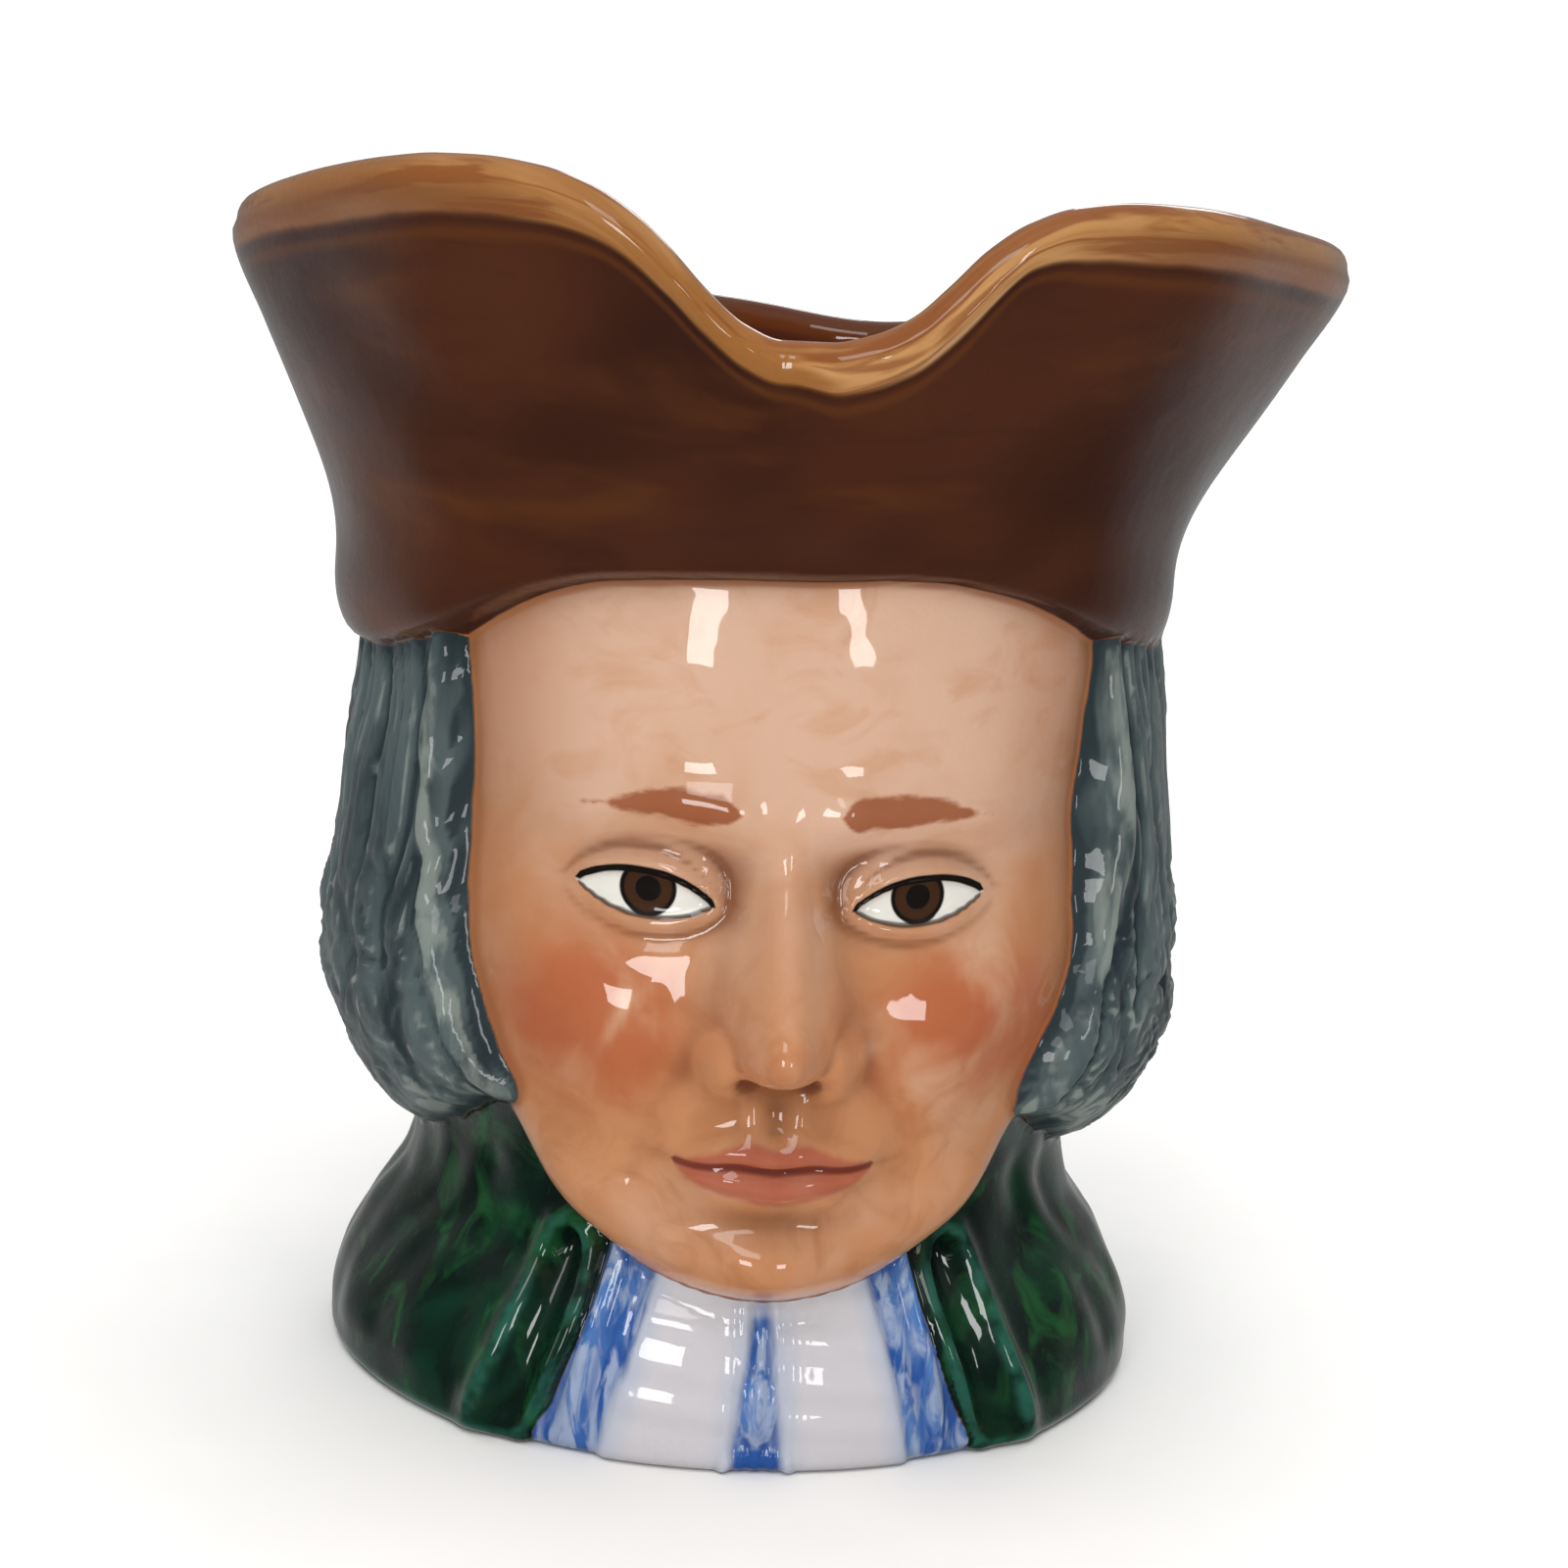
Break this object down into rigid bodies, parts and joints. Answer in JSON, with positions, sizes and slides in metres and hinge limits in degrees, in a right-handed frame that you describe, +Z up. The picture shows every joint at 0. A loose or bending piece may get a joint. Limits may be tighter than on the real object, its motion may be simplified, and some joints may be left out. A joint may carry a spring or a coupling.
{
  "type": "toby jug",
  "caption": "Hollow glazed earthenware jug shaped as a head in a cocked hat that forms the mouth, with a pouring dip at the front and a loop handle at the back.",
  "frame": {"origin": "centre of the flat underside of the foot, on the plane the jug stands on", "axes": "+Z up, -Y towards the front, where the face looks and the lip pours, +Y towards the handle, +X to the right of someone facing the front of the jug"},
  "size_m": [0.1514, 0.1757, 0.1695],
  "materials": {
    "glaze": "gloss"
  },
  "bodies": {
    "root": {"jug": "glaze"}
  },
  "joints": []
}
